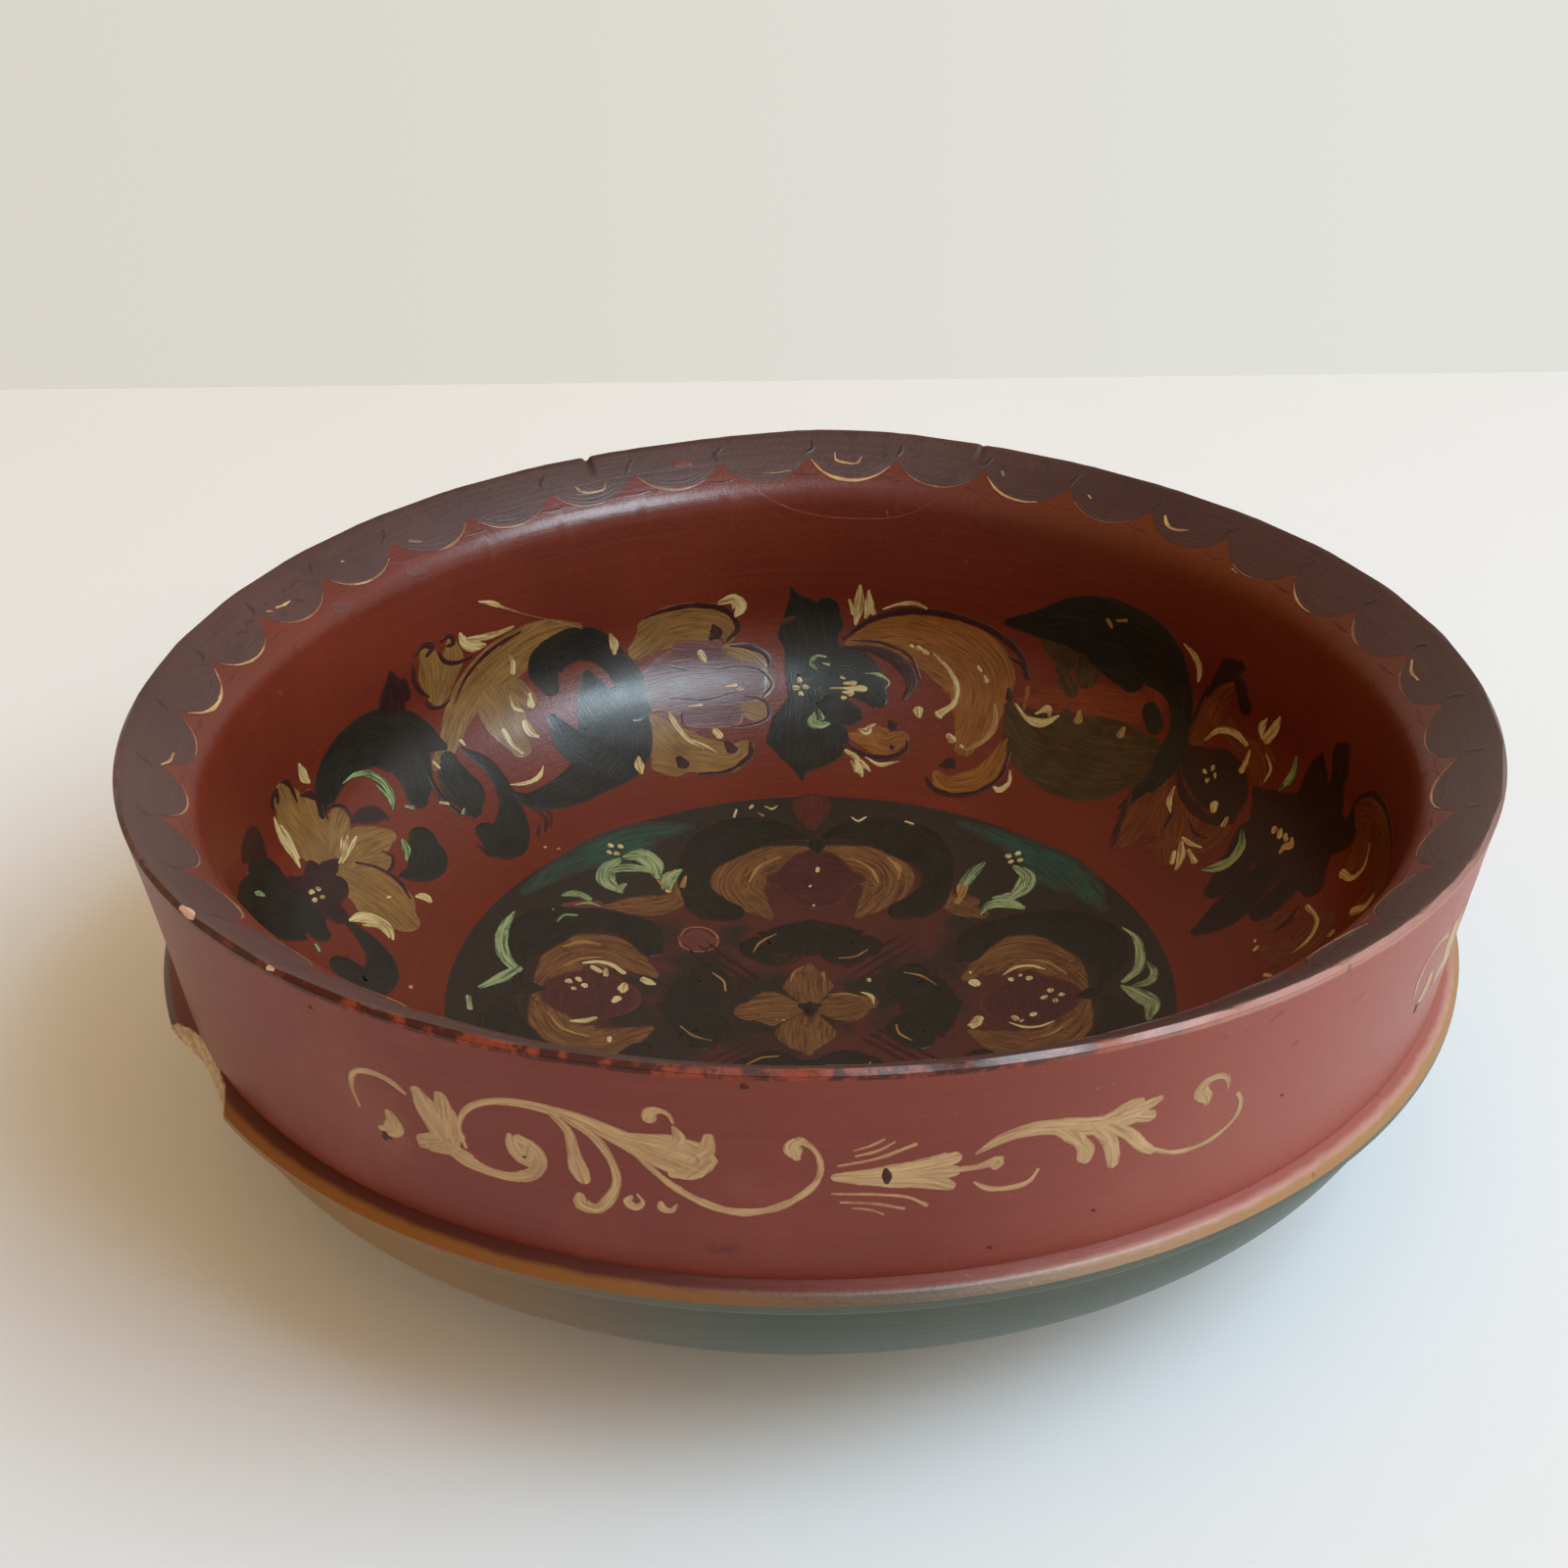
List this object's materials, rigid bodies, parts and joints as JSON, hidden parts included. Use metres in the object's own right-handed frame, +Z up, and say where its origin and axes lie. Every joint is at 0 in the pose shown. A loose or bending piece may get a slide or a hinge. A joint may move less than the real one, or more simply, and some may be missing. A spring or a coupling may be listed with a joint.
{
  "type": "painted ale bowl",
  "caption": "Round turned wooden drinking bowl with a rolled scalloped lip, drawn-in collar, ridge, rounded belly and foot ring, painted with scrolls and flowers.",
  "frame": {"origin": "centre of the foot ring, in the plane that the ring rests on", "axes": "+Z up along the turning axis, from the foot to the open mouth; -Y towards the side that the picture shows in front; +X to the picture's right"},
  "size_m": [0.32, 0.32, 0.1083],
  "materials": {
    "bare_birch": "bare turned birch, darkened with handling",
    "interior_red": "oil paint under an aged satin varnish",
    "medallion_ground": "oil paint under an aged satin varnish",
    "rim_brown": "oil paint under an aged satin varnish",
    "collar_red": "oil paint under an aged satin varnish",
    "ridge_ochre": "oil paint under an aged satin varnish",
    "belly_green": "oil paint under an aged satin varnish"
  },
  "bodies": {
    "root": {"turned_bowl_body": "bare_birch", "interior_red_coat": "interior_red", "floor_medallion_coat": "medallion_ground", "rim_band_coat": "rim_brown", "collar_red_coat": "collar_red", "ridge_ochre_coat": "ridge_ochre", "belly_green_coat": "belly_green"}
  },
  "joints": []
}
